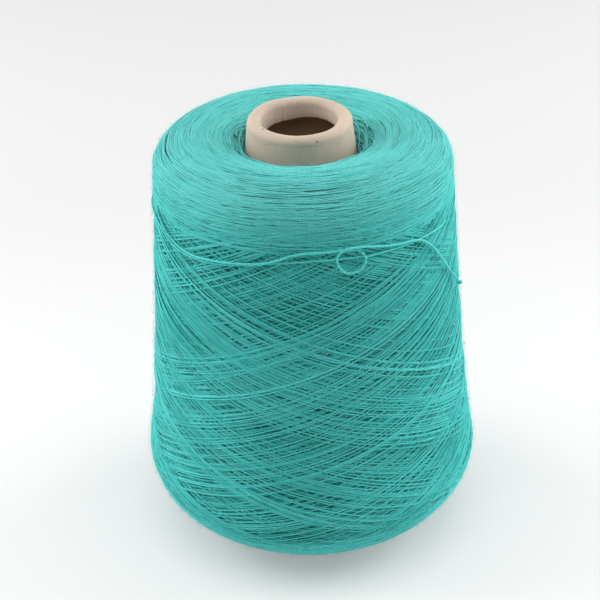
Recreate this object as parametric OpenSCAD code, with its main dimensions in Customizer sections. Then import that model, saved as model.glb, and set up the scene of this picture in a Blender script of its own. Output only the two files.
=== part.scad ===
// A cone of knitting yarn: a paper cone with a rolled nose, the yarn wound on it, and the yarn's two ends.
// Millimetres. The cone stands on its wide end at z = 0, with its axis on +Z and the front at -Y.

/* [Paper cone] */
// Length of the cone along its axis
cone_len = 170; // [120:1:290]
// Half angle of the cone in degrees: 4 degrees 20 minutes
half_angle = 4.333; // [3.5:0.001:5.95]
// Outside diameter of the rolled nose
nose_d = 38.4; // [32:0.1:60]
// Thickness of the pale board that makes the outside and the rolled nose
board_t = 1.5; // [1:0.1:2.4]
// Thickness of the brown liner pasted inside the board
liner_t = 1.1; // [0.6:0.1:2.4]
// Outside radius of the roll at the nose
roll_r = 2.6; // [2.5:0.1:5]
// Straight length of the board tucked down inside the nose
tuck_len = 3.5; // [2:0.1:12]

/* [Wound yarn] */
// Thickness of the winding, measured square to the axis
wind_t = 34.3; // [20:0.1:80]
// Bare cone left below the winding
base_bare = 7; // [5:0.5:20]
// Bare cone left above the winding
nose_bare = 11; // [6:0.5:30]
// Height of the rounded end at the base
base_round_h = 27; // [8:0.5:45]
// Width of the rounded end at the base
base_round_w = 30; // [8:0.5:60]
// Swelling of the winding just above the rounded base
base_bulge = 1.2; // [0:0.1:4]
// How far the side draws in at half height
side_waist = 0.8; // [0:0.1:3]
// Height of the rounded end at the nose
top_round_h = 12; // [4:0.5:19]
// Width of the rounded end at the nose
top_round_w = 15.5; // [4:0.5:40]
// How far the winding dips from its crest to the nose
nose_dip = 5.3; // [1:0.1:12]

/* [Yarn ends] */
// Thickness of the yarn where it is wound tight
yarn_d = 0.6; // [0.4:0.05:1.2]
// Turns of the transfer tail on the bare base of the cone
tail_turns = 4; // [2:1:5]
// Thickness of the slack yarn of the loose end
slack_d = 0.9; // [0.6:0.05:1.4]
// Diameter of the knot that finishes the loose end
knot_d = 2; // [1.6:0.1:4]

/* [Hidden] */
$fn = 128;

slope = tan(half_angle);
roll_at = [nose_d / 2 - roll_r, cone_len - roll_r];   // centre of the roll's section
clearance = 0.15;                                     // between a strand and what it lies on
end_land = 1;                                         // flat ring kept between a rounded end and the cone
tail_gap = 0.1;                                       // between neighbouring turns of the transfer tail

// Radius of the board's outside at height z, tangent to the roll.
function cone_r(z) = roll_at.x + roll_r / cos(half_angle) - (z - roll_at.y) * slope;

// The winding's heights, from the base up.
side_from = base_bare + base_round_h;
edge_z = cone_len - nose_bare;                        // where the winding meets the nose
crest_z = edge_z + nose_dip;
side_to = crest_z - top_round_h;
bulge_share = 0.08;                                   // share of the side over which the bulge fades

// Radius of the winding's side at height z, between side_from and side_to.
function side_r(z) =
    let (s = (z - side_from) / (side_to - side_from))
    cone_r(z) + wind_t - side_waist * sin(180 * s) + base_bulge * exp(-pow(s / bulge_share, 2));

// Points of a quarter ellipse round c, with half axes w and h, from angle a0 to a1.
function ellipse_arc(c, w, h, a0, a1, n) =
    [for (i = [0:n]) let (a = a0 + (a1 - a0) * i / n) [c.x + w * cos(a), c.y + h * sin(a)]];

wide_r = side_r(side_from);
base_w = min(base_round_w, wide_r - cone_r(base_bare) - end_land);
shoulder_r = side_r(side_to);
top_w = min(top_round_w, shoulder_r - cone_r(crest_z) - end_land);
crest_r = shoulder_r - top_w;
arc_steps = 14;
side_steps = 24;

// Section of the winding: base end, side, nose end, the dip to the nose, and back down the cone.
winding_section = concat(
    ellipse_arc([wide_r - base_w, side_from], base_w, base_round_h, -90, 0, arc_steps),
    [for (i = [1:side_steps - 1])
        let (z = side_from + (side_to - side_from) * i / side_steps) [side_r(z), z]],
    ellipse_arc([crest_r, side_to], top_w, top_round_h, 0, 90, arc_steps),
    [for (i = [1:arc_steps])
        let (s = i / arc_steps) [crest_r + (cone_r(edge_z) - crest_r) * s, crest_z - nose_dip * s * s]],
    [[cone_r(base_bare), base_bare]]
);

// Section of the board: up the outside, over the roll, down the tuck, and back inside the roll.
roll_steps = 30;
roll_in = roll_r - board_t;
tuck_end = roll_at - [roll_r, tuck_len];
board_section = concat(
    [[cone_r(0), 0]],
    ellipse_arc(roll_at, roll_r, roll_r, half_angle, 180, roll_steps),
    [tuck_end, tuck_end + [board_t, 0]],
    ellipse_arc(roll_at, roll_in, roll_in, 180, half_angle, roll_steps),
    [[cone_r(0) - board_t / cos(half_angle), 0]]
);

// The loose end's route over the front of the winding, as [degrees round from the front, height
// below the crest of the winding, stand-off]. It curls once into a ring and falls to the right.
loose_route = [
    [-42, 28, 0.6], [-36, 27.4, 0.6], [-30, 26.8, 0.6], [-24, 26.1, 0.6], [-18, 25.3, 0.6],
    [-13, 24.2, 0.6], [-9, 22.8, 0.6], [-5, 21.3, 0.6], [-1, 20.7, 0.6], [4, 20.6, 0.6],
    [9, 20.6, 0.6], [13.5, 20.7, 0.6], [16, 21, 0.6], [18, 21.5, 0.7], [19.6, 22.6, 0.8],
    [20.4, 24.1, 0.9], [20.5, 25.6, 1], [19.9, 26.9, 1.1], [18.8, 28.1, 1.2], [17.1, 28.9, 1.3],
    [14.9, 29, 1.4], [12.8, 28.2, 1.5], [11.1, 26.5, 1.5], [10.3, 24.5, 1.6], [10.3, 22.5, 1.7],
    [11.2, 21, 1.8], [12.8, 20, 1.8], [15, 19.7, 1.7], [18, 20, 1.3], [21, 20.6, 0.9],
    [25, 21.5, 0.7], [30, 22.6, 0.6], [35, 23.5, 0.6], [40, 24.1, 0.6], [44, 25.2, 0.6],
    [47, 26.8, 0.6], [50, 29.3, 0.6], [53, 32.6, 0.6], [57, 37.7, 0.6], [61, 42.8, 0.6],
    [64.5, 47, 0.7], [67.5, 50.6, 1.1], [70, 53.6, 1.7]
];
route_fine = 2;                                       // rings of the tube for each point of the route

// The point of a route entry p = [angle, drop, stand-off] in space; angle 0 is the front, -Y.
function on_side(p) =
    let (z = crest_z - p[1], r = side_r(z) + p[2] + clearance) [r * sin(p[0]), -r * cos(p[0]), z];

// Point at t from 0 to 1 on the smooth curve from b to c, with neighbours a and d (Catmull-Rom).
function smooth(a, b, c, d, t) =
    0.5 * (2 * b + (c - a) * t + (2 * a - 5 * b + 4 * c - d) * t * t + (3 * b - 3 * c + d - a) * t * t * t);

function at(list, i) = list[max(0, min(len(list) - 1, i))];

function smoothed(list, fine) = concat(
    [for (i = [0:len(list) - 2], k = [0:fine - 1])
        smooth(at(list, i - 1), list[i], list[i + 1], at(list, i + 2), k / fine)],
    [list[len(list) - 1]]
);

loose_path = smoothed([for (p = loose_route) on_side(p)], route_fine);

// The transfer tail's turns climb the bare base side by side.
tail_pitch = yarn_d + tail_gap;
tail_from = (base_bare - tail_turns * tail_pitch) / 2;
tail_rings = 48;                                      // rings of the tube for each turn
tail_path = [for (i = [0:tail_turns * tail_rings])
    let (turn = i / tail_rings, z = tail_from + turn * tail_pitch,
         r = cone_r(z) + yarn_d / 2 + clearance)
    [r * cos(360 * turn), r * sin(360 * turn), z]];

function unit(v) = v / norm(v);
function direction(path, i) = unit(at(path, i + 1) - at(path, i - 1));

// One ring of points round a path at point i. Its first point leans away from the cone's axis.
function ring(path, i, r, sides) =
    let (t = direction(path, i),
         out = unit([path[i].x, path[i].y, 0]),
         u = unit(out - t * (out * t)),
         v = cross(t, u))
    [for (k = [0:sides - 1]) path[i] + r * (cos(360 * k / sides) * u + sin(360 * k / sides) * v)];

// A round tube that follows a path, closed by a flat face at each end.
module tube(path, r, sides = 8) {
    rings = len(path);
    points = [for (i = [0:rings - 1]) each ring(path, i, r, sides)];
    walls = [for (i = [0:rings - 2], k = [0:sides - 1])
        let (a = i * sides + k, b = i * sides + (k + 1) % sides)
        each [[a, b, a + sides], [b, b + sides, a + sides]]];
    first = [for (k = [sides - 1:-1:0]) k];
    last = [for (k = [0:sides - 1]) (rings - 1) * sides + k];
    polyhedron(points, concat(walls, [first, last]));
}

// The pale board: straight wall, half-round roll at the nose, and the tuck inside it.
module cone_board() {
    color("tan")
    rotate_extrude()
    polygon(board_section);
}

// The brown liner: a plain conical sleeve inside the board, up to the start of the roll.
module cone_liner() {
    out = board_t / cos(half_angle);
    in = out + liner_t / cos(half_angle);
    top = roll_at.y;
    color("saddlebrown")
    rotate_extrude()
    polygon([[cone_r(0) - in, 0], [cone_r(0) - out, 0], [cone_r(top) - out, top], [cone_r(top) - in, top]]);
}

// The wound yarn as one closed ring with the true outer shape of the winding.
module yarn_package() {
    color("mediumturquoise")
    rotate_extrude()
    polygon(winding_section);
}

// The start of the yarn: a few turns on the bare base of the cone.
module transfer_tail() {
    color("lightseagreen")
    tube(tail_path, yarn_d / 2);
}

// The end of the yarn, lying slack on the front of the winding.
module loose_end() {
    color("turquoise")
    tube(loose_path, slack_d / 2);
}

// The knot at the tip of the loose end.
module end_knot() {
    last = len(loose_path) - 1;
    color("turquoise")
    translate(loose_path[last] + direction(loose_path, last) * knot_d / 2)
    sphere(d = knot_d);
}

cone_board();
cone_liner();
yarn_package();
transfer_tail();
loose_end();
end_knot();
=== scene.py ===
# %% [markdown]
# # A cone of knitting yarn
#
# Fine teal yarn wound on a paper cone with a rolled nose, and the end of the yarn lying slack on the
# front. The exact shapes of the cone, the winding and the yarn's two ends come from the CAD part, in
# metres, with the axis on +Z and the front at -Y. This script adds what a drawing leaves out: the
# strands themselves, the crease and grain of the paper, the fluff, the light and the camera.
#
# The look of wound yarn comes from thousands of strands that cross, so nearly everything below is
# about laying them the way a winding machine does. Each strand is a row in one big array.

# %% Load the part
import math

import bpy
import numpy as np
from mathutils import Matrix


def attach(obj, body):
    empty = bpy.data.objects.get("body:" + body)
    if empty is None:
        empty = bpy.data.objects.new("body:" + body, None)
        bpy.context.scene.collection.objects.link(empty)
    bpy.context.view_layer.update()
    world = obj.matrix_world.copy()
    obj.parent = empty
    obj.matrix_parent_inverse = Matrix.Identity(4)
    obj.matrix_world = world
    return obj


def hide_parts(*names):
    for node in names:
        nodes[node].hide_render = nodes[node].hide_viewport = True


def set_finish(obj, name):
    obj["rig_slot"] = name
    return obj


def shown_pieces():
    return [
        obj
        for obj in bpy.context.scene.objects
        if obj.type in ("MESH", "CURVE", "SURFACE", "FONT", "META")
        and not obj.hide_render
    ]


MM = 0.001
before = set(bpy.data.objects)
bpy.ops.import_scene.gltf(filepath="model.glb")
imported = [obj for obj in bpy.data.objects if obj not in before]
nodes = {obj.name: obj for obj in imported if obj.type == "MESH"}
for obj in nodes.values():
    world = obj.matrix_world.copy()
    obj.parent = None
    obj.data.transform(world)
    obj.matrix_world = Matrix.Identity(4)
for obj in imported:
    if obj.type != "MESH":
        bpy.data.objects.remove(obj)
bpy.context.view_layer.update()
scene = bpy.context.scene


# %% [markdown]
# The camera comes first, because it decides what matters. It stands a little above the object at a
# short telephoto distance, looks down by 30 degrees, and was held two degrees out of level, which is
# what makes the object lean a little to the left.

# %% Place the camera
AIM = Matrix.Translation((-2.76 * MM, 0, 93.3 * MM))
LOOK_DOWN = math.radians(30.3)
CAMERA_ROLL = math.radians(2)
CAMERA_DISTANCE = 592 * MM
SENSOR_WIDTH = 36
LENS = 93.2

camera_data = bpy.data.cameras.new("camera")
camera_data.sensor_width = SENSOR_WIDTH
camera_data.lens = LENS
camera = bpy.data.objects.new("camera", camera_data)
camera.matrix_world = (AIM @ Matrix.Rotation(math.pi / 2 - LOOK_DOWN, 4, "X")
                       @ Matrix.Rotation(-CAMERA_ROLL, 4, "Z")
                       @ Matrix.Translation((0, 0, CAMERA_DISTANCE)))
scene.collection.objects.link(camera)
scene.camera = camera
print("camera at", [round(v, 3) for v in camera.matrix_world.translation])


# %% [markdown]
# The winding is a body of revolution, so its whole shape is one outline of radius against height.
# Reading the outline off the CAD mesh keeps the strands on the true shape: if the part changes, the
# strands follow. The mesh's own vertices all lie on the outline, so the distinct pairs of radius and
# height are its corners, and their angle round the middle of the section puts them in order.

# %% Read the winding's outline
def outline_of(node):
    """Corners (radius, height) of a turned solid's section, in order round the section."""
    co = np.empty(3 * len(node.data.vertices))
    node.data.vertices.foreach_get("co", co)
    co = co.reshape(-1, 3)
    pairs = np.unique(np.stack([np.hypot(co[:, 0], co[:, 1]), co[:, 2]], -1).round(5), axis=0)
    return pairs[np.argsort(np.arctan2(*(pairs - pairs.mean(0)).T[::-1]))]


outline = outline_of(nodes["yarn_package"])
base_edge = np.lexsort((outline[:, 0], outline[:, 1]))[0]
outline = np.roll(outline, -base_edge, axis=0)
nose_edge = np.lexsort((outline[:, 1], outline[:, 0]))[0]
skin = outline[: nose_edge + 1]
print("skin runs from", skin[0] / MM, "to", skin[-1] / MM, "in", len(skin), "corners")


# %% [markdown]
# Everything wound has two natural coordinates: how far along the section it lies, and the angle round
# the axis. A table of the section, sampled finely, answers both "where is the surface" and "which way
# is out". Angle 0 is the front of the object and angles grow towards +X.

# %% Tables of the skin
FINE = 0.5 * MM
BLUR_STEPS = 5                   # rounds the corners of the outline, so that directions change smoothly

corner_s = np.concatenate([[0], np.cumsum(np.hypot(*np.diff(skin, axis=0).T))])
skin_s = np.arange(0, corner_s[-1], FINE)
skin_r, skin_z = (np.interp(skin_s, corner_s, skin[:, k]) for k in (0, 1))


def blurred(values, reach):
    """Each value averaged with its neighbours within reach steps, the ends repeated outwards."""
    padded = np.pad(values, reach, mode="edge")
    return np.convolve(padded, np.ones(2 * reach + 1) / (2 * reach + 1), mode="valid")


along = np.stack([blurred(np.gradient(values, FINE), BLUR_STEPS) for values in (skin_r, skin_z)])
along /= np.hypot(*along)
out_r, out_z = along[1], -along[0]
crest_i = int(np.argmax(skin_z))
crest_s, crest_z = skin_s[crest_i], skin_z[crest_i]
print("skin is", round(skin_s[-1] / MM), "mm long, and its crest is", round(crest_z / MM, 1), "mm up")


def skin_point(s, depth):
    """Radius and height of the point that lies depth under the skin at arc length s."""
    r = np.interp(s, skin_s, skin_r) - depth * np.interp(s, skin_s, out_r)
    z = np.interp(s, skin_s, skin_z) - depth * np.interp(s, skin_s, out_z)
    return r, z


def skin_s_at(z):
    """Arc length at which the skin reaches height z on its way up to the crest."""
    return np.interp(z, skin_z[: crest_i + 1], skin_s[: crest_i + 1])


def side_radius(z):
    """Radius of the winding's outside at height z."""
    return np.interp(z, skin_z[: crest_i + 1], skin_r[: crest_i + 1])


def turned(angle, r, z):
    """Points at an angle round the axis from the front, a radius and a height, as (..., 3)."""
    return np.stack([r * np.sin(angle), -r * np.cos(angle), z + 0 * angle], axis=-1)


def smoothstep(x):
    """0 below 0, 1 above 1 and a smooth rise between."""
    x = np.clip(x, 0, 1)
    return x * x * (3 - 2 * x)


SLUMP_TOWARDS, SLUMP = math.radians(125), 0.8 * MM
MOAT_R, MOAT_WIDTH, MOAT_DEPTH = 20.4 * MM, 2 * MM, 3 * MM
SETTLES_FROM, SETTLES_OVER = 136 * MM, 22 * MM     # heights in which the settling sets in


def settled(points):
    """Points of the winding as it really lies: the far right of its nose end has sunk a little, and
    left and right of the cone the yarn has slumped into a shallow moat."""
    x, y, z = points[..., 0], points[..., 1], points[..., 2]
    angle, r = np.arctan2(x, -y), np.hypot(x, y)
    sunk = SLUMP * np.clip(np.cos(angle - SLUMP_TOWARDS), 0, 1)
    moat = MOAT_DEPTH * np.exp(-(((r - MOAT_R) / MOAT_WIDTH) ** 2)) * np.sin(angle) ** 2
    down = smoothstep((z - SETTLES_FROM) / SETTLES_OVER) * (sunk + moat)
    return points - down[..., None] * np.array([0, 0, 1])


def skin_out(angle, s):
    """Outward directions of the skin at an angle and an arc length."""
    return turned(angle, np.interp(s, skin_s, out_r), np.interp(s, skin_s, out_z))


# %% [markdown]
# Blender keeps a mesh as flat arrays, and foreach_set fills each of them in one call. One function
# makes every new piece: points, faces of any size, UV maps and numbers at the points. The finished
# object stays at the origin, because its place is in its mesh.

# %% Make a mesh from arrays
def new_piece(name, points, faces, maps=None, values=None, slot="yarn"):
    """An object whose mesh has these points and faces; faces is a list of (n, corners) index arrays.
    maps holds UV coordinates per face corner, values holds one number per point."""
    mesh = bpy.data.meshes.new(name)
    loops = np.concatenate([f.ravel() for f in faces])
    sizes = np.concatenate([np.full(len(f), f.shape[1]) for f in faces])
    mesh.vertices.add(len(points))
    mesh.vertices.foreach_set("co", points.astype(np.float32).ravel())
    mesh.loops.add(len(loops))
    mesh.loops.foreach_set("vertex_index", loops.astype(np.int32))
    mesh.polygons.add(len(sizes))
    mesh.polygons.foreach_set("loop_start", (np.cumsum(sizes) - sizes).astype(np.int32))
    mesh.update(calc_edges=True)
    mesh.polygons.foreach_set("use_smooth", np.ones(len(sizes), bool))
    for map_name, uv in (maps or {}).items():
        mesh.uv_layers.new(name=map_name).uv.foreach_set("vector", uv.astype(np.float32).ravel())
    for value_name, value in (values or {}).items():
        attribute = mesh.attributes.new(value_name, "FLOAT", "POINT")
        attribute.data.foreach_set("value", value.astype(np.float32).ravel())
    obj = bpy.data.objects.new(name, mesh)
    scene.collection.objects.link(obj)
    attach(obj, "root")
    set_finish(obj, slot)
    print(f"{name}: {len(points)} points, {int((sizes - 2).sum())} triangles")
    return obj


# %% [markdown]
# A strand of yarn is a thin tube. Thousands of them at once are one array of centre points, strands by
# points, and the ring at each point is the centre plus a circle in the plane across the strand. A
# curve object per strand would be slow to make and could not carry a shade of its own.

# %% Tubes along many centre lines
def unit(v):
    """Vectors of length 1 in the directions of v."""
    return v / np.linalg.norm(v, axis=-1, keepdims=True)


def rings(centre, lean, radius, sides):
    """Points centre + radius (cos a · lean + sin a · across) for angles a round each centre point.
    radius is a number, or one per strand and point, or one per strand, point and side."""
    ahead = unit(np.gradient(centre, axis=1))
    lean = unit(lean - ahead * (lean * ahead).sum(-1, keepdims=True))
    across = np.cross(ahead, lean)
    a = 2 * np.pi * np.arange(sides) / sides
    radius = np.asarray(radius, float)
    radius = radius[..., None, None] if radius.ndim < 3 else radius[..., None]
    circle = np.cos(a)[:, None] * lean[:, :, None] + np.sin(a)[:, None] * across[:, :, None]
    return centre[:, :, None] + radius * circle


def tube_faces(strands, count, sides):
    """Quads that join each ring to the next, and the two end caps of each strand."""
    first = np.arange(strands)[:, None, None] * count * sides
    ring = np.arange(count - 1)[None, :, None] * sides
    j = np.arange(sides)[None, None, :]
    here, following = first + ring + j, first + ring + (j + 1) % sides
    quads = np.stack([here, following, following + sides, here + sides], -1).reshape(-1, 4)
    turn = np.arange(sides)
    starts = np.arange(strands)[:, None] * count * sides + turn[::-1]
    ends = np.arange(strands)[:, None] * count * sides + (count - 1) * sides + turn
    return [quads, np.concatenate([starts, ends])]


# %% [markdown]
# A strand needs two maps. In the bake map each strand has a strip of its own, so that its shade
# can be baked. The ply map counts the turns of the yarn's twist along the strand, and the share
# of a turn round it, which is all that a pattern needs to wind round it like a screw thread.

# %% Map the tubes and make the piece
STRIP_ENDS = 0.02                # share of the bake map's width that is kept for the caps at either end
STRIP_GAP = 0.1                  # share of a strip's height that stays empty above and below it


def tube_maps(centre, sides, twist):
    """The bake map, a strip per strand, and the ply map: turns of twist along, share of a turn round."""
    strands, count = centre.shape[:2]
    step = np.linalg.norm(np.diff(centre, axis=1), axis=-1)
    length = np.concatenate([np.zeros((strands, 1)), np.cumsum(step, 1)], 1)
    corner = np.array([[0, 0], [0, 1], [1, 1], [1, 0]])
    k = (np.arange(count - 1)[:, None, None] + corner[:, 0]).repeat(sides, axis=1)
    j = (np.arange(sides)[None, :, None] + corner[:, 1]).repeat(count - 1, axis=0)
    k, j = k.reshape(-1, 4), j.reshape(-1, 4)
    row = np.arange(strands)[:, None, None]
    bake_u = STRIP_ENDS + (1 - 2 * STRIP_ENDS) * length[:, k] / length[:, -1:, None]
    bake_v = (row + STRIP_GAP + (1 - 2 * STRIP_GAP) * j / sides) / strands
    ply = np.stack([length[:, k] / twist, 0 * bake_v + j / sides], -1)
    a = 2 * np.pi * np.arange(sides) / sides
    cap_u = STRIP_ENDS * (0.4 + 0.25 * np.cos(a))
    cap_v = (row[..., 0] + 0.5 + 0.35 * np.sin(a)) / strands
    low = np.stack([cap_u[::-1] + 0 * cap_v, cap_v[:, ::-1]], -1)
    high = np.stack([1 - cap_u + 0 * cap_v, cap_v], -1)
    caps = np.concatenate([low, high]).reshape(-1, 2)
    bake = np.concatenate([np.stack([bake_u, bake_v], -1).reshape(-1, 2), caps])
    return {"OFBake": bake, "ply": np.concatenate([ply.reshape(-1, 2), 0 * caps])}


def strand_piece(name, centre, lean, radius, tone, sides=5, twist=2.4 * MM):
    """One piece of many strands. tone is one number per strand, or per strand and point."""
    strands, count = centre.shape[:2]
    tone = np.broadcast_to(tone if np.ndim(tone) == 2 else tone[:, None], (strands, count))
    points = rings(centre, lean, radius, sides).reshape(-1, 3)
    maps = tube_maps(centre, sides, twist)
    values = {"tone": np.repeat(tone.ravel(), sides)}
    return new_piece(name, points, tube_faces(strands, count, sides), maps, values)


# %% [markdown]
# The loose end has the same route here as in the part: points on the side of the winding, given by the
# angle round from the front, the height below the crest and the stand-off from the surface. It lifts
# off on the left, curls once into a ring, rises over a little hump and falls to the right. A
# Catmull-Rom curve passes through every point of the route, so both scripts get the same line.

# %% Follow the loose end's route
LOOSE_ROUTE = np.array([
    [-42, 28, 0.6], [-36, 27.4, 0.6], [-30, 26.8, 0.6], [-24, 26.1, 0.6], [-18, 25.3, 0.6],
    [-13, 24.2, 0.6], [-9, 22.8, 0.6], [-5, 21.3, 0.6], [-1, 20.7, 0.6], [4, 20.6, 0.6],
    [9, 20.6, 0.6], [13.5, 20.7, 0.6], [16, 21, 0.6], [18, 21.5, 0.7], [19.6, 22.6, 0.8],
    [20.4, 24.1, 0.9], [20.5, 25.6, 1], [19.9, 26.9, 1.1], [18.8, 28.1, 1.2], [17.1, 28.9, 1.3],
    [14.9, 29, 1.4], [12.8, 28.2, 1.5], [11.1, 26.5, 1.5], [10.3, 24.5, 1.6], [10.3, 22.5, 1.7],
    [11.2, 21, 1.8], [12.8, 20, 1.8], [15, 19.7, 1.7], [18, 20, 1.3], [21, 20.6, 0.9],
    [25, 21.5, 0.7], [30, 22.6, 0.6], [35, 23.5, 0.6], [40, 24.1, 0.6], [44, 25.2, 0.6],
    [47, 26.8, 0.6], [50, 29.3, 0.6], [53, 32.6, 0.6], [57, 37.7, 0.6], [61, 42.8, 0.6],
    [64.5, 47, 0.7], [67.5, 50.6, 1.1], [70, 53.6, 1.7],
])
CLEARANCE = 0.15 * MM


def smoothed(points, fine):
    """The Catmull-Rom curve through points, with fine steps between neighbours."""
    before = points[np.maximum(np.arange(len(points)) - 1, 0)][:-1, None]
    a, b = points[:-1, None], points[1:, None]
    after = points[np.minimum(np.arange(len(points)) + 1, len(points) - 1)][1:, None]
    t = (np.arange(fine) / fine)[None, :, None]
    curve = 0.5 * (2 * a + (b - before) * t + (2 * before - 5 * a + 4 * b - after) * t**2
                   + (3 * a - 3 * b + after - before) * t**3)
    return np.concatenate([curve.reshape(-1, 3), points[-1:]])


def on_side(route, fine):
    """The curve through route's rows of [degrees, mm below the crest, mm off the surface]."""
    angle, z = np.radians(route[:, 0]), crest_z - route[:, 1] * MM
    return smoothed(turned(angle, side_radius(z) + route[:, 2] * MM + CLEARANCE, z), fine)


def outward(path):
    """Level directions away from the axis at the points of a path."""
    return unit(path * [1, 1, 0])


loose_path = on_side(LOOSE_ROUTE, 8)


# %% [markdown]
# Off the package the yarn relaxes: it is thicker than where it is wound tight, and its two plies show.
# A section with two lobes, turning steadily along the strand, gives the twist its real outline. The
# alternative, two separate plies wound round each other, would be open between them in a cord that
# has to be one closed tube.

# %% Make the loose end
SLACK_D = 0.9 * MM
LOOSE_TWIST = 3.4 * MM
LOBE_SIDES = 12
LOBE_MEAN, LOBE_HEIGHT = 0.84, 0.2       # of the section's radius, as shares of half the thickness
LOOSE_SHADE = 0.85

walked = np.concatenate([[0], np.cumsum(np.linalg.norm(np.diff(loose_path, axis=0), axis=1))])
twist_angle = 2 * np.pi * walked / LOOSE_TWIST
side_angle = 2 * np.pi * np.arange(LOBE_SIDES) / LOBE_SIDES
lobes = LOBE_MEAN + LOBE_HEIGHT * np.cos(2 * (side_angle - twist_angle[:, None]))
swell = 1 + 0.06 * np.sin(walked / (5 * MM)) + 0.05 * np.sin(walked / (1.7 * MM) + 1)
loose_radius = SLACK_D / 2 * lobes * swell[:, None]
loose_tone = np.full((1, len(loose_path)), LOOSE_SHADE)
loose_end = strand_piece("loose_end_yarn", loose_path[None], outward(loose_path)[None],
                         loose_radius[None], loose_tone, LOBE_SIDES, LOOSE_TWIST)


# %% [markdown]
# The knot is a trefoil, the simplest true knot, drawn as one closed tube. Its curve is
# (sin t + 2 sin 2t, cos t - 2 cos 2t, -sin 3t), which spans about three units either way.

# %% Tie the knot
KNOT_D = 2 * MM
KNOT_YARN_R = 0.36 * MM
KNOT_SIDES = 10
KNOT_STEPS = 90
KNOT_SHADE = 0.6

t = np.linspace(0, 2 * np.pi, KNOT_STEPS + 1)[:-1]
trefoil = np.stack([np.sin(t) + 2 * np.sin(2 * t), np.cos(t) - 2 * np.cos(2 * t), -np.sin(3 * t)], -1)
step_out = unit(loose_path[-1] - loose_path[-3])
knot_at = loose_path[-1] + step_out * KNOT_D / 2
knot_path = knot_at + trefoil * (KNOT_D / 2 - KNOT_YARN_R) / 3
ahead = unit(np.roll(knot_path, -1, axis=0) - np.roll(knot_path, 1, axis=0))
aside = unit(knot_path - knot_at)
aside = unit(aside - ahead * (aside * ahead).sum(-1, keepdims=True))
a = 2 * np.pi * np.arange(KNOT_SIDES) / KNOT_SIDES
knot_points = knot_path[:, None] + KNOT_YARN_R * (
    np.cos(a)[:, None] * aside[:, None] + np.sin(a)[:, None] * np.cross(ahead, aside)[:, None])
k, j = np.meshgrid(np.arange(KNOT_STEPS), np.arange(KNOT_SIDES), indexing="ij")
k_on, j_on = (k + 1) % KNOT_STEPS, (j + 1) % KNOT_SIDES
knot_quads = np.stack([k * KNOT_SIDES + j, k * KNOT_SIDES + j_on,
                       k_on * KNOT_SIDES + j_on, k_on * KNOT_SIDES + j], -1).reshape(-1, 4)
knot = new_piece("knot_yarn", knot_points.reshape(-1, 3), [knot_quads],
                 values={"tone": np.full(KNOT_STEPS * KNOT_SIDES, KNOT_SHADE)})

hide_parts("loose_end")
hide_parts("end_knot")


# %% [markdown]
# A winder turns the cone while a guide runs up and down. The cone turns as a stiff body, so the angle
# grows evenly with time, and the height follows the guide: it speeds up out of each reversal, runs
# faster towards the nose, and slows into the next one, most gently at the nose. One table of the
# guide's travel serves every pass. Passes come in runs that are almost in step with the cone, which
# is what leaves bands of parallel strands, and then the winder breaks the pattern and a new run
# starts somewhere else. The last bands are the ones in full view, so they are listed one by one: falling
# strands lie on top at the left of the front, rising ones at the right, and they cross in the middle.

# %% Lay the side passes
YARN_R = 0.27 * MM
PASSES = 1080
PASS_POINTS = 54
DEEPEST = 1.7 * MM
UNDER_OTHERS = 0.3 * MM          # how far one way's passes lie under the other's, left and right
SUNK = 0.12 * MM                 # how far the outermost strands keep inside the CAD surface
TURN = 7.3                       # radians that the cone turns during one pass
LOWEST, HIGHEST = 11 * MM, 150 * MM    # heights between which the guide reverses
RUN_STEPS = (0.045, 0.13)        # radians from one pass of a run to the next
RUN_LENGTHS = (2, 7)             # passes up and down in a run, the second number left out
BASE_EASE, NOSE_EASE = 0.08, 0.16      # shares of a pass in which the guide changes speed
PAST_END = 0.05                  # share of a pass that is drawn beyond each reversal
PAST_SINK = 1.8 * MM             # how far it has sunk there
UP, DOWN = 1, 0
LAST_BANDS = [                   # way, degrees round and mm up where the band passes, passes, step
    (UP, 170, 80, 8, 0.06), (DOWN, 150, 90, 8, 0.07), (UP, 40, 72, 7, 0.09), (DOWN, -50, 60, 7, 0.1),
    (UP, 46, 98, 10, 0.08), (UP, 25, 120, 5, 0.06), (DOWN, -46, 99, 12, 0.085),
    (DOWN, -42, 125, 6, 0.055), (UP, -10, 90, 3, 0.05), (DOWN, -5, 107, 3, 0.03),
]

rng = np.random.default_rng(7)
clock = np.linspace(0, 1, 2001)
ease = np.clip(clock / BASE_EASE, 0, 1) * np.clip((1 - clock) / NOSE_EASE, 0, 1)
guide_speed = ease * (0.8 + 0.55 * clock)
guide_travel = np.concatenate([[0], np.cumsum(guide_speed[1:] + guide_speed[:-1])])
guide_travel /= guide_travel[-1]
print("turns of the cone in one pass:", round(TURN / (2 * np.pi), 2))


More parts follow.
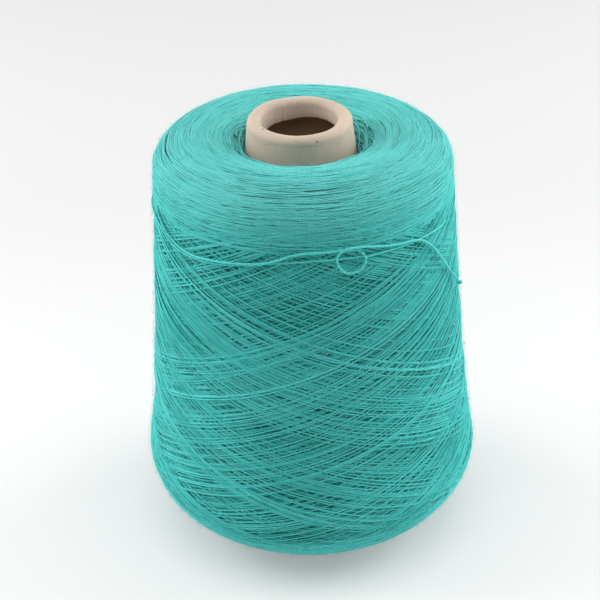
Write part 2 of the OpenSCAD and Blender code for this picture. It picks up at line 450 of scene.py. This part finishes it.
def passes_in_order():
    """Way, start angle, turn, lowest and highest arc length of each pass, the first laid first."""
    rows = []
    shown = sum(band[3] for band in LAST_BANDS)
    low_end, high_end = skin_s_at(LOWEST), skin_s_at(HIGHEST)
    while len(rows) < PASSES - shown:
        start, turn = rng.uniform(0, 2 * np.pi), TURN * rng.uniform(0.88, 1.12)
        step = rng.uniform(*RUN_STEPS) * rng.choice([-1, 1])
        low, high = low_end + rng.uniform(0, 20) * MM, high_end + rng.uniform(0, 15) * MM
        for k in range(rng.integers(*RUN_LENGTHS)):
            at = start + k * step
            rows += [(UP, at, turn, low, high), (DOWN, at + turn, turn, low, high)]
    rows = rows[:PASSES - shown]
    for way, degrees, height, count, step in LAST_BANDS:
        low, high = low_end + rng.uniform(2, 14) * MM, high_end + rng.uniform(0, 12) * MM
        when = np.interp((skin_s_at(height * MM) - low) / (high - low), guide_travel, clock)
        first = math.radians(degrees) - TURN * (when if way == UP else 1 - when) - count / 2 * step
        rows += [(way, first + k * step, TURN, low, high) for k in range(count)]
    return np.array(rows).T[:, :, None]


# %% [markdown]
# Now each pass becomes a line. Its time runs a little past both reversals and folds back, so a strand
# shows how it turns round, and sinks out of sight there. The first pass lies deepest. On the left the
# falling strands lie on top and on the right the rising ones do, so the order of laying changes
# smoothly with the angle. Slow sines make a strand wander a little, as yarn under tension still does.

# %% Draw the side passes
def side_passes():
    """Centre lines and outward directions of all passes, the deepest first, as (pass, point, 3)."""
    way, start, turn, low, high = passes_in_order()
    low = low + rng.normal(0, 1.2 * MM, (PASSES, 1))
    high = high + rng.normal(0, 1.2 * MM, (PASSES, 1))
    time = np.linspace(-PAST_END, 1 + PAST_END, PASS_POINTS)
    inside = 1 - np.abs(1 - np.abs(time))                  # folds the time back at both reversals
    travel = np.interp(np.where(way == UP, inside, 1 - inside), clock, guide_travel)
    wave = rng.uniform(0, 2 * np.pi, (3, PASSES, 1))
    s = low + (high - low) * travel + 0.25 * MM * np.sin(9 * time + wave[0])
    past = np.maximum(np.abs(time - 0.5) - 0.5, 0) / PAST_END
    depth = DEEPEST * (1 - np.arange(PASSES)[:, None] / PASSES)
    depth = depth + MM * (0.1 * np.sin(7 * time + wave[1]) + 0.06 * np.sin(19 * time + wave[2]))
    angle = start + turn * time + rng.normal(0, 0.02, (PASSES, 1))
    under = UNDER_OTHERS * (0.5 + np.where(way == UP, -0.5, 0.5) * np.sin(angle))
    depth = depth + under + PAST_SINK * past**2 + YARN_R + SUNK
    r, z = skin_point(s, depth)
    return settled(turned(angle, r, z)), skin_out(angle, s)


def tones(count):
    """A shade for each strand, mostly near the middle."""
    return np.clip(rng.normal(0.5, 0.16, count), 0, 1)


PER_PIECE = 360
OUTER_PAINTED_LIGHT, BURIED_PAINTED_SHADE = 0.15, 0.7    # painted shade: how much paler the last pass is, and how much darker the first

side, side_lean = side_passes()
# painted shade: the earlier and deeper a pass lies, the darker its tone, for the shadow under later passes
side_tone_and_shade = tones(PASSES) + OUTER_PAINTED_LIGHT - BURIED_PAINTED_SHADE * np.sqrt(1 - np.arange(PASSES) / PASSES)
for part, first in enumerate(range(0, PASSES, PER_PIECE)):
    some = slice(first, first + PER_PIECE)
    strand_piece(f"side_passes_{part + 1}", side[some], side_lean[some], YARN_R, side_tone_and_shade[some])


# %% [markdown]
# The two ends of a winding show something else: only the turning points of the layers beneath. Each
# layer was wound at its own radius, came up to the end, ran level for a moment and went back down. So
# an end is made of long level arcs whose two ends sink or bend away. Laying whole turns would be
# simpler and would look like a record; arcs that drift a little across their neighbours give the
# streaks and the small dark gaps. The nose end has three kinds: long ones over the shoulder, shorter
# ones on the face that looks up, and a loose tangle in the moat beside the cone.

# %% Lay the turning points of both ends
ARC_POINTS = 10
ARC_SINK = 0.9 * MM              # how far an arc's two ends lie under its middle
ARCS_PER_PIECE = 1600
BASE_PAINTED_LIGHT = 0.3                 # painted light: the base end is coloured this much paler, to look more brightly lit


def end_arcs(count, s_range, half_length, bend, drift, wobble, deepest):
    """Arcs along the turning direction at arc lengths in s_range. Along an arc, s changes by
    drift · reach + bend · reach² plus a wave, and the depth grows with the fourth power of reach,
    which is the way from the arc's middle; bend fades over the face that looks up or down."""
    s0 = rng.uniform(*s_range, (count, 1))
    reach = np.linspace(-1, 1, ARC_POINTS) * half_length * rng.uniform(0.6, 1.25, (count, 1))
    on_the_side = np.clip(np.interp(s0, skin_s, out_r), 0, 1)
    wave = rng.uniform(0, 2 * np.pi, (2, count, 1))
    s = s0 + rng.normal(0, drift, (count, 1)) * reach + bend * on_the_side * reach**2
    s = s + wobble * np.sin(reach / (6 * MM) + wave[0])
    depth = rng.uniform(0, deepest, (count, 1)) + ARC_SINK * (reach / half_length) ** 4
    depth = depth + 0.4 * wobble * np.sin(reach / (5 * MM) + wave[1]) + YARN_R + SUNK
    s = np.clip(s, skin_s[0], skin_s[-1])
    r, z = skin_point(s, depth)
    angle = rng.uniform(0, 2 * np.pi, (count, 1)) + reach / np.interp(s0, skin_s, skin_r)
    return settled(turned(angle, r, z)), skin_out(angle, s)


skin_end = skin_s[-1]
ENDS = {                         # arcs, arc lengths, half length, bend per m, drift, wobble, deepest
    "nose_end": (2600, (skin_s_at(143 * MM), skin_end - 9 * MM), 22 * MM, -3.2, 0.022, 0.15 * MM, 0.8 * MM),
    "nose_face": (1900, (crest_s - 8 * MM, skin_end - 6 * MM), 11 * MM, 0, 0.06, 0.3 * MM, 0.9 * MM),
    "nose_tangle": (620, (skin_end - 11 * MM, skin_end - 0.2 * MM), 7 * MM, 0, 0.3, 0.6 * MM, 2.4 * MM),
    "base_end": (2400, (skin_s[0] + 0.5 * MM, skin_s_at(25 * MM)), 30 * MM, 3.4, 0.035, 0.15 * MM, 1.2 * MM),
}
for label, plan in ENDS.items():
    arcs, lean = end_arcs(*plan)
    # painted light: the base end's arcs get paler tones
    tone = tones(len(arcs)) + (BASE_PAINTED_LIGHT if label == "base_end" else 0)
    for part, first in enumerate(range(0, len(arcs), ARCS_PER_PIECE)):
        some = slice(first, first + ARCS_PER_PIECE)
        strand_piece(f"{label}_{part + 1}", arcs[some], lean[some], YARN_R, tone[some])


# %% [markdown]
# Two wraps were laid last of all and lie over nearly everything: the one that becomes the loose end, and
# its neighbour, which passes behind the ring and ends up under the loose end's hump. Both come round
# from the back of the winding. Each row is degrees from the front, mm below the crest and mm off the
# surface, and a negative stand-off sinks the yarn among the others.

# %% Lay the last wraps
WRAP_R = 0.32 * MM
WRAP_SIDES = 8
WRAP_SHADE = 0.8
LAST_WRAPS = [
    [[-178, 47, -0.4], [-160, 41, -0.1], [-140, 34.5, 0], [-120, 28.5, 0.1], [-105, 25.5, -0.5],
     [-92, 23.6, -0.7], [-84, 22.8, -0.7], [-76, 22.3, -0.5], [-70.6, 22.8, -0.2], [-66.6, 24, 0],
     [-61.5, 25.9, 0.1], [-56, 27.2, 0.15], [-51, 28, 0.25], [-46, 28.2, 0.4], [-42, 28, 0.6]],
    [[-150, 41, -0.4], [-130, 34.5, 0], [-112, 29.5, 0], [-98, 26.5, 0], [-86, 25, 0], [-76, 24.9, 0],
     [-69, 25.8, 0], [-61.6, 27.5, 0], [-55, 28.9, 0], [-48.8, 29.4, 0], [-43.4, 29.3, 0],
     [-38.6, 29, 0], [-34, 28.6, 0], [-30, 27.9, 0], [-24, 26.9, 0], [-18.3, 25.9, 0], [-13, 24.9, 0],
     [-7.6, 24.4, 0], [-2.4, 24, 0], [4.5, 23.8, 0], [9.8, 23.9, 0], [14, 24, 0], [18.8, 24.4, 0],
     [22.6, 24.7, 0], [28.5, 24.7, 0], [35, 24.9, 0], [42, 25.2, 0], [50, 25.7, -0.1], [58, 26.4, -0.4],
     [66, 27.3, -1]],
]
for part, route in enumerate(LAST_WRAPS):
    path = on_side(np.array(route), 6)
    strand_piece(f"last_wrap_{part + 1}", path[None], outward(path)[None], WRAP_R,
                 np.full((1, len(path)), WRAP_SHADE), WRAP_SIDES)


# %% [markdown]
# Under the strands lies the rest of the winding, which only shows as the dark bottom of a gap. It is
# the outline again, drawn in by the depth of the strands and turned round the axis.

# %% The body of the winding under the strands
def lathe(section, steps):
    """Points of a closed section turned round the axis, and the quads between them."""
    angle = 2 * np.pi * np.arange(steps) / steps
    points = turned(angle[:, None], section[None, :, 0], section[None, :, 1])
    i, k = np.meshgrid(np.arange(steps), np.arange(len(section)), indexing="ij")
    i_on, k_on = (i + 1) % steps, (k + 1) % len(section)
    n = len(section)
    quads = np.stack([i * n + k, i_on * n + k, i_on * n + k_on, i * n + k_on], -1)
    return points, quads.reshape(-1, 4)


UNDER = DEEPEST + 0.4 * MM
BODY_MARGIN = 0.5 * MM           # length of skin left out at either end
BODY_LIFT = 0.8 * MM             # how far the body's underside keeps above the winding's
BODY_CORNERS, BODY_STEPS = 120, 128
BODY_SHADE = 0.5

under_s = np.linspace(BODY_MARGIN, skin_end - BODY_MARGIN, BODY_CORNERS)
under_r, under_z = skin_point(under_s, UNDER)
cone_slope = (outline[0] - skin[-1]) / (outline[0, 1] - skin[-1, 1])
under_z = np.clip(under_z, skin[0, 1] + BODY_LIFT, None)
under_r = np.maximum(under_r, outline[0, 0] + (under_z - outline[0, 1]) * cone_slope[0])
points, quads = lathe(np.stack([under_r, under_z], -1), BODY_STEPS)
under = new_piece("winding_body", settled(points).reshape(-1, 3), [quads],
                  values={"tone": np.full(BODY_STEPS * BODY_CORNERS, BODY_SHADE)})
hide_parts("yarn_package")


# %% [markdown]
# The start of the yarn is the transfer tail: a few neat turns on the bare base of the cone, where the
# next cone's yarn would be tied on. It is a helix, one turn beside the next.

# %% Wind the transfer tail
TAIL_TURNS = 4
TAIL_PITCH = 0.7 * MM
TAIL_FROM = 2.1 * MM
TAIL_D = 0.6 * MM
TAIL_STEPS = 72                  # points on one turn
TAIL_SIDES = 8
TAIL_SHADE = 0.6

tail_turn = np.linspace(0, TAIL_TURNS, TAIL_STEPS * TAIL_TURNS + 1)
tail_z = TAIL_FROM + tail_turn * TAIL_PITCH
tail_r = outline[0, 0] + (tail_z - outline[0, 1]) * cone_slope[0] + TAIL_D / 2 + CLEARANCE
tail_path = turned(2 * np.pi * tail_turn + np.pi / 2, tail_r, tail_z)
tail = strand_piece("transfer_tail_yarn", tail_path[None], outward(tail_path)[None], TAIL_D / 2,
                    np.full((1, len(tail_path)), TAIL_SHADE), TAIL_SIDES)
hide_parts("transfer_tail")


# %% [markdown]
# Spun yarn is never clean. Short ends of fibre stand out from it all over, and they are what softens
# the outline and the highlights. A fibre is a very thin tube that leaves the surface, leans over and
# comes back, so its centre line is a straight run along the skin plus a bow outwards.

# %% Raise the fluff
FIBRES, FLUFF_PIECES = 6400, 3   # fibres in a piece, and pieces
LOOSE_FIBRES = 260
FIBRE_POINTS = 5
FIBRE_SIDES = 3
FIBRE_R = 0.024 * MM
FIBRE_SHADE = 2.0                # past 1, a tone means fluff
ROOT_DEPTH = 0.1 * MM


def fluff(name, count, root, out, reach, lift):
    """Fibres that start at root, run along the surface by up to reach and bow out by up to lift."""
    sideways = rng.normal(size=root.shape)
    sideways = unit(sideways - out * (sideways * out).sum(-1, keepdims=True))
    t = np.linspace(0, 1, FIBRE_POINTS)[None, :, None]
    reach, lift = (m * rng.uniform(0.3, 1, (count, 1, 1)) for m in (reach, lift))
    curl = unit(np.cross(out, sideways))[:, None] * rng.normal(0, 0.5, (count, 1, 1))
    bow = np.sin(t * np.pi * rng.uniform(0.45, 1, (count, 1, 1)))
    path = root[:, None] + reach * (t * sideways[:, None] + t**2 * curl) + lift * bow * out[:, None]
    radius = FIBRE_R * (1 - 0.6 * t[..., 0])
    lean = np.broadcast_to(out[:, None], path.shape)
    shade = np.full(count, FIBRE_SHADE)
    return strand_piece(name, path, lean, radius * np.ones((count, 1)), shade, FIBRE_SIDES)


def skin_roots(count):
    """Random points spread evenly over the skin, with the outward directions there."""
    weight = np.cumsum(skin_r)
    s = np.interp(rng.uniform(0, weight[-1], count), weight, skin_s)
    angle = rng.uniform(0, 2 * np.pi, count)
    return settled(turned(angle, *skin_point(s, ROOT_DEPTH))), skin_out(angle, s)


for part in range(FLUFF_PIECES):
    fluff(f"fluff_{part + 1}", FIBRES, *skin_roots(FIBRES), 1.9 * MM, 1.2 * MM)
on_path = np.sort(rng.integers(0, len(loose_path), LOOSE_FIBRES))
loose_roots, loose_out = loose_path[on_path], outward(loose_path)[on_path]
fluff("loose_end_fluff", LOOSE_FIBRES, loose_roots, loose_out, 1.3 * MM, 0.8 * MM)


# %% [markdown]
# The cone is rolled from paper board, and its top is turned in to make a smooth nose for the yarn to
# run over. The board has to shrink to go round that turn, so the tuck inside is full of fine upright
# creases and its edge is ragged. The wall is a closed section turned round the axis: up the outside,
# over the roll, down the tuck and back to the foot along the inside.

# %% Turn the paper cone
HALF_ANGLE = math.radians(4.333)
NOSE_R = 19.2 * MM
ROLL_R = 2.6 * MM
BOARD_T = 1.5 * MM
TUCK_LEN = 3.5 * MM
CONE_LEN = 170 * MM
CONE_STEPS = 480
WALL_CORNERS, ROLL_CORNERS, TUCK_CORNERS = 16, 26, 9   # of the section, on each of its two sides

roll_r, roll_z = NOSE_R - ROLL_R, CONE_LEN - ROLL_R
foot_r = roll_r + ROLL_R / math.cos(HALF_ANGLE) + roll_z * math.tan(HALF_ANGLE)
wall = np.linspace(0, 1, WALL_CORNERS)[:, None]
turn_out = np.linspace(HALF_ANGLE, np.pi, ROLL_CORNERS)[:, None]
turn_in = turn_out[::-1]
tuck = np.linspace(0, 1, TUCK_CORNERS)[:, None]
roll_top = np.array([roll_r, roll_z])
arc_out = roll_top + ROLL_R * np.hstack([np.cos(turn_out), np.sin(turn_out)])
arc_in = roll_top + (ROLL_R - BOARD_T) * np.hstack([np.cos(turn_in), np.sin(turn_in)])
foot = np.array([foot_r, 0])
foot_in = foot - [BOARD_T / math.cos(HALF_ANGLE), 0]
down = np.array([0, -TUCK_LEN])
section = np.concatenate([
    foot + (arc_out[0] - foot) * (1 - (1 - wall[:-1]) ** 1.5),
    arc_out[:-1],
    arc_out[-1] + down * tuck,
    arc_in[0] + down * tuck[::-1][:-1],
    arc_in,
    arc_in[-1] + (foot_in - arc_in[-1]) * wall[1:] ** 1.5,
])
points, quads = lathe(section, CONE_STEPS)
print("board section has", len(section), "corners; foot radius mm", round(foot_r / MM, 2))


# %% [markdown]
# A turned cone is too perfect for paper. The rim is not quite level and drops towards the front, the
# tuck is creased and leans in, the nose stands a little to the left, and there is a lap where the
# paper's outer edge was pasted down. All of these are small moves of the points, each a smooth function
# of the angle and of the place on the section.

# %% Crease and settle the paper
LAP_CORNERS = 8                  # corners of the roll that the pasted lap still covers
LEAN_LEFT = 0.8 * MM             # how far the nose stands to the left of the base


def waves(angle, counts, seed):
    """A sum of sines with whole numbers of waves round the circle, scaled to about ±1."""
    own = np.random.default_rng(seed)
    phase, size = own.uniform(0, 2 * np.pi, len(counts)), own.uniform(0.5, 1, len(counts))
    return (size * np.sin(np.multiply.outer(angle, counts) + phase)).sum(-1) / np.sqrt(len(counts)) * 1.4


angle = 2 * np.pi * np.arange(CONE_STEPS) / CONE_STEPS
r, z = section[:, 0], section[:, 1]
into_roll = smoothstep((z - (CONE_LEN - 14 * MM)) / (12 * MM))
inside = smoothstep((roll_r - r) / (1.2 * MM)) * (z > CONE_LEN - 8 * MM)
down_tuck = inside * smoothstep((roll_z + 1.5 * MM - z) / (4 * MM))
front = (1 + np.cos(angle)) / 2
rim_drop = MM * (0.3 + 1.0 * front**1.5 + 0.08 * waves(angle, np.arange(2, 8), 3))
creases = waves(angle, np.arange(30, 90, 3), 5) * (0.6 + 0.4 * waves(angle, np.arange(3, 9), 6))
ragged = waves(angle, np.arange(7, 50, 3), 8)
lap = smoothstep((angle - math.radians(40)) / math.radians(14)) * smoothstep((np.pi - angle) / np.pi)
dent = np.exp(-(((angle - math.radians(289)) / math.radians(4)) ** 2))

move_r = MM * (0.07 * creases[:, None] * (0.25 * inside + 0.75 * down_tuck)
               + 0.015 * waves(angle, np.arange(20, 90, 4), 9)[:, None] * into_roll
               + (0.1 * waves(angle, np.arange(2, 7), 10)[:, None] - 0.25) * into_roll)
on_outside = (np.arange(len(section)) < WALL_CORNERS - 1 + LAP_CORNERS).astype(float)
move_r = move_r + 0.22 * MM * lap[:, None] * on_outside * (1 - inside)
move_r = move_r - 0.5 * MM * down_tuck**2                # the tuck leans in towards the axis
move_z = -rim_drop[:, None] * into_roll
tuck_drop = 0.08 * ragged + 1.3 * np.clip(-np.sin(angle + 0.5), 0, 1) + 0.5
move_z = move_z - MM * tuck_drop[:, None] * down_tuck * smoothstep((roll_z - z) / TUCK_LEN)
move_z = move_z - 0.55 * MM * dent[:, None] * inside * (1 - down_tuck)
points = points + turned(angle[:, None], move_r, move_z)
points[..., 0] -= LEAN_LEFT * (points[..., 2] / CONE_LEN) ** 2
paper = new_piece("paper_cone", points.reshape(-1, 3), [quads], slot="board")
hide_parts("cone_board")


# %% [markdown]
# Shaders are sums, so they are easiest to read when they are written as sums. A small wrapper round a
# socket turns each operator into a Math node, and one function adds any other node. Nothing here uses
# a picture: every pattern is a formula of the place on the object or along the strand.

# %% Write shader maths as sums
class Value:
    """A number, vector or colour on its way through a shader. Arithmetic on it adds Math nodes."""

    def __init__(self, tree, socket):
        self.tree, self.socket = tree, socket

    def math(self, operation, *others):
        inputs = dict(enumerate((self, *others)))
        return add_node(self.tree, "ShaderNodeMath", {"operation": operation}, inputs)

    def __add__(self, other):
        return self.math("ADD", other)

    def __sub__(self, other):
        return self.math("SUBTRACT", other)

    def __rsub__(self, other):
        return add_node(self.tree, "ShaderNodeMath", {"operation": "SUBTRACT"}, {0: other, 1: self})

    def __mul__(self, other):
        return self.math("MULTIPLY", other)

    __radd__ = __add__
    __rmul__ = __mul__

    def between(self, low, high):
        """0 below low, 1 above high and a smooth rise between; falls instead where low > high."""
        settings = {"interpolation_type": "SMOOTHSTEP"}
        start, end = (0, 1) if low < high else (1, 0)
        inputs = {0: self, 1: min(low, high), 2: max(low, high), 3: start, 4: end}
        return add_node(self.tree, "ShaderNodeMapRange", settings, inputs)

    def mixed(self, a, b):
        """Colour a where this is 0, colour b where it is 1."""
        settings = {"data_type": "RGBA", "clamp_factor": True}
        return add_node(self.tree, "ShaderNodeMix", settings, {0: self, 6: a, 7: b}, out=2)

    def noise(self, scale, detail=2, roughness=0.5):
        """Soft random values about 0.5 at this place, with features 1 / scale across."""
        inputs = {"Vector": self, "Scale": scale, "Detail": detail, "Roughness": roughness}
        return add_node(self.tree, "ShaderNodeTexNoise", None, inputs)

    def away_from(self, place):
        """Distance of this place from another."""
        settings = {"operation": "DISTANCE"}
        return add_node(self.tree, "ShaderNodeVectorMath", settings, {0: self, 1: place}, out=1)

    def stretched(self, by):
        """This place with its coordinates multiplied."""
        settings = {"operation": "MULTIPLY"}
        return add_node(self.tree, "ShaderNodeVectorMath", settings, {0: self, 1: by})

    def split(self):
        """The three parts of this vector."""
        first = add_node(self.tree, "ShaderNodeSeparateXYZ", None, {0: self})
        return [Value(self.tree, socket) for socket in first.socket.node.outputs]


def add_node(tree, kind, settings=None, inputs=None, out=0):
    """Adds a node: its settings first, then its inputs by name or number, linked or set."""
    node = tree.nodes.new(kind)
    for key, value in (settings or {}).items():
        setattr(node, key, value)
    for key, value in (inputs or {}).items():
        if isinstance(value, Value):
            tree.links.new(value.socket, node.inputs[key])
        else:
            node.inputs[key].default_value = value
    return Value(tree, node.outputs[out])


def new_material(name, constants):
    """A material, its node tree and its shader, with the shader's plain numbers and colours set."""
    material = bpy.data.materials.new(name)
    material.use_nodes = True
    tree = material.node_tree
    shader = tree.nodes["Principled BSDF"]
    for key, value in constants.items():
        shader.inputs[key].default_value = value
    return material, tree, shader


def drive(shader, height_step=None, **patterns):
    """Links patterns to the shader's inputs. bump is a height that goes in through a Bump node."""
    tree = shader.id_data
    bump = patterns.pop("bump", None)
    for key, value in patterns.items():
        tree.links.new(value.socket, shader.inputs[key.replace("_", " ").title()])
    if bump is not None:
        normal = add_node(tree, "ShaderNodeBump", None, {"Distance": height_step, "Height": bump})
        tree.links.new(normal.socket, shader.inputs["Normal"])


# %% [markdown]
# Yarn is matt and deep in colour. Light goes in between the fibres, so there is hardly any mirror
# shine, a pale sheen at grazing angles from the fluff, and gaps that turn dark but stay saturated. The
# shade of each strand comes from its own tone. The twist shows as two grooves, darkened by painted
# shade, that wind round the strand: their place is the share of a turn round minus the turns of twist
# along. The fluff's paler colour is a painted sheen, and so is the paler, greyer nose end, which faces up.

# %% Colour the yarn
YARN_DEEP = (0.02, 0.34, 0.32, 1)
YARN_PALE = (0.095, 0.61, 0.58, 1)
# painted sheen: fluff is coloured paler than the yarn, for its lit haze at the edges
FLUFF_PAINTED_SHEEN = (0.36, 0.74, 0.72, 1)
TOP_PAINTED_SHEEN = (0.38, 0.52, 0.51, 1)    # painted sheen: the paler, greyer look of the lit nose end
TOP_SHEEN_SHARE = 0.14                      # share of it at the very top
SHEEN_FROM, SHEEN_TO = 140 * MM, 165 * MM
PLY_GROOVE = 0.05 * MM

yarn, tree, shader = new_material("teal_yarn", {
    "Roughness": 0.7, "IOR": 1.2, "Sheen Weight": 0.3, "Sheen Roughness": 0.25,
    "Sheen Tint": (0.5, 1, 0.96, 1),
})
tone = add_node(tree, "ShaderNodeAttribute", {"attribute_name": "tone"}, out=2)
place = add_node(tree, "ShaderNodeTexCoord", out=3)
along_yarn, round_yarn, _ = add_node(tree, "ShaderNodeUVMap", {"uv_map": "ply"}).split()
groove = ((round_yarn - along_yarn) * (2 * math.pi)).math("COSINE").math("ABSOLUTE")
# painted shade: the twist's grooves are coloured darker as well as sunk by the bump
shade = tone * 0.7 + place.noise(45) * 0.4 + groove.between(0, 0.6) * 0.15 - 0.1
_, _, height = place.split()
# painted sheen: towards the top the yarn is mixed with a paler, greyer colour
top_sheen = height.between(SHEEN_FROM, SHEEN_TO) * TOP_SHEEN_SHARE
colour = top_sheen.mixed(shade.mixed(YARN_DEEP, YARN_PALE), TOP_PAINTED_SHEEN)
# painted sheen: fibres take the paler fluff colour
colour = tone.between(1, 2).mixed(colour, FLUFF_PAINTED_SHEEN)
drive(shader, PLY_GROOVE, base_color=colour, bump=groove.between(0, 0.7))
dyed = [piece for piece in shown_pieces() if piece.get("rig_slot") == "yarn"]
for piece in dyed:
    piece.data.materials.append(yarn)
print("yarn's finish is on", len(dyed), "pieces and has", len(tree.nodes), "nodes")


# %% [markdown]
# The board is grey-beige recycled paper: soft cloudy patches, a fine grain of fibres, three small
# specks, and a soft crease below the roll where the paper was turned over, with painted shade darkening
# it a little. A speck is every place within its radius, and the grain frays its edge.

# %% Colour the board
BOARD_PALE = (0.56, 0.46, 0.375, 1)
BOARD_DARK = (0.43, 0.34, 0.265, 1)
SPECK_AND_CREASE_SHADE = (0.12, 0.08, 0.06, 1)
SPECKS = [                       # degrees from the front, mm out, mm up, mm radius
    (15.8, 18.6, 167, 0.45), (11.1, 19.2, 161.2, 0.4), (-54.4, 16.8, 168.9, 0.55),
]
PAPER_BUMP = 0.05 * MM
FOLD_Z, FOLD_WANDER, FOLD_H = 165.2 * MM, 2.4 * MM, 0.8 * MM   # the crease below the roll

board, tree, shader = new_material("pale_board", {"Roughness": 0.85, "Specular IOR Level": 0.2})
place = add_node(tree, "ShaderNodeTexCoord", out=3)
clouds, grain = place.noise(110, 3), place.noise(1500, 4, 0.65)
fibres_up = place.stretched((1, 1, 0.4)).noise(900, 3)
shade = (clouds * 0.9 + grain * 0.5 + fibres_up * 0.4 - 0.4).mixed(BOARD_DARK, BOARD_PALE)
for degrees, out, height, radius in SPECKS:
    spot = turned(np.radians(degrees), out * MM, height * MM)
    frayed = place.away_from(tuple(spot)) + grain * 0.3 * MM
    shade = frayed.between(1.3 * radius * MM, 0.8 * radius * MM).mixed(shade, SPECK_AND_CREASE_SHADE)
_, _, height = place.split()
from_fold = (height - FOLD_Z + (place.noise(70, 1) - 0.5) * FOLD_WANDER).math("ABSOLUTE")
fold = from_fold.between(FOLD_H, 0) * place.noise(60, 1).between(0.4, 0.6)
# painted shade: the crease is darkened a little with the speck colour
shade = (fold * 0.1).mixed(shade, SPECK_AND_CREASE_SHADE)
drive(shader, PAPER_BUMP, base_color=shade, bump=grain + fibres_up - fold * 2)
paper.data.materials.append(board)
print("board has", len(SPECKS), "specks and", len(tree.nodes), "nodes")


# %% [markdown]
# The liner inside the cone is brown kraft paper, seen only in the dark of the throat. Its shape is
# plain, so the CAD part's own liner stays and only gets this finish.

# %% Colour the liner
KRAFT_PALE = (0.40, 0.27, 0.17, 1)
KRAFT_DARK = (0.28, 0.18, 0.11, 1)

kraft, tree, shader = new_material("brown_kraft", {"Roughness": 0.9, "Specular IOR Level": 0.2})
place = add_node(tree, "ShaderNodeTexCoord", out=3)
grain = place.noise(1200, 4, 0.65)
shade = (place.noise(90, 3) + grain * 0.5 - 0.25).mixed(KRAFT_DARK, KRAFT_PALE)
drive(shader, PAPER_BUMP, base_color=shade, bump=grain)
liner = nodes["cone_liner"]
liner.data.materials.clear()
liner.data.materials.append(kraft)
print("liner's material slots:", [slot.name for slot in liner.material_slots])


# %% [markdown]
# The object stands on a plain white sheet in a light tent: a big soft light above, two smaller panels at
# the sides that brighten the edges, and an even glow from the room. The floor is large enough to fill
# the picture, so its colour is the background. It grows a little darker towards the back, which evens
# out the light, and a share of its look is a plain glow that takes no shadow, so the shadow is soft.

# %% Light the scene
FLOOR_COLOUR = (0.80, 0.79, 0.79, 1)
FLOOR_FAR = (0.60, 0.605, 0.60, 1)
FLOOR_CLEAR = (0.83, 0.845, 0.84, 1)
CLEARED = 0.3                    # share of the floor's look that takes no shadow
ROOM_LIGHT = 0.29
FLOOR_HALF = 3                   # half the floor's width in metres
LAMPS = [                        # name, width and depth, place, aim (all m), power in W
    ("top_light", (1.8, 1.8), (0, -0.25, 1.6), (0, 0, 0.05), 20.5),
    ("left_light", (0.9, 0.9), (-1.1, 0.3, 0.5), (0, 0, 0.08), 16),
    ("right_light", (0.9, 0.9), (1.1, 0.3, 0.5), (0, 0, 0.08), 16),
]

floor_mesh = bpy.data.meshes.new("floor")
floor_corners = [(FLOOR_HALF * x, FLOOR_HALF * y, 0) for x, y in ((-1, -1), (1, -1), (1, 1), (-1, 1))]
floor_mesh.from_pydata(floor_corners, [], [(0, 1, 2, 3)])
floor = bpy.data.objects.new("floor", floor_mesh)
scene.collection.objects.link(floor)
floor_material, tree, shader = new_material("white_sheet", {"Roughness": 0.8})
_, behind, _ = add_node(tree, "ShaderNodeTexCoord", out=3).split()
drive(shader, base_color=behind.between(-0.1, 0.3).mixed(FLOOR_COLOUR, FLOOR_FAR))
seen = add_node(tree, "ShaderNodeLightPath") * CLEARED
clear = add_node(tree, "ShaderNodeEmission", None, {"Color": FLOOR_CLEAR, "Strength": 1})
lit = Value(tree, shader.outputs[0])
both = add_node(tree, "ShaderNodeMixShader", None, {0: seen, 1: lit, 2: clear})
tree.links.new(both.socket, tree.nodes["Material Output"].inputs["Surface"])
floor_mesh.materials.append(floor_material)

for name, (width, depth), place, aim, power in LAMPS:
    lamp = bpy.data.lights.new(name, "AREA")
    lamp.shape, lamp.size, lamp.size_y, lamp.energy = "RECTANGLE", width, depth, power
    holder = bpy.data.objects.new(name, lamp)
    holder.matrix_world = Matrix.Translation(place)
    look = Matrix.Translation(aim).translation - holder.matrix_world.translation
    holder.rotation_euler = look.to_track_quat("-Z", "Y").to_euler()
    scene.collection.objects.link(holder)

world = bpy.data.worlds.new("room")
world.use_nodes = True
background = world.node_tree.nodes["Background"]
background.inputs["Color"].default_value = (1, 1, 1, 1)
background.inputs["Strength"].default_value = ROOM_LIGHT
scene.world = world
scene.view_settings.view_transform = "Standard"
print("lamps give", sum(lamp[-1] for lamp in LAMPS), "W in all")
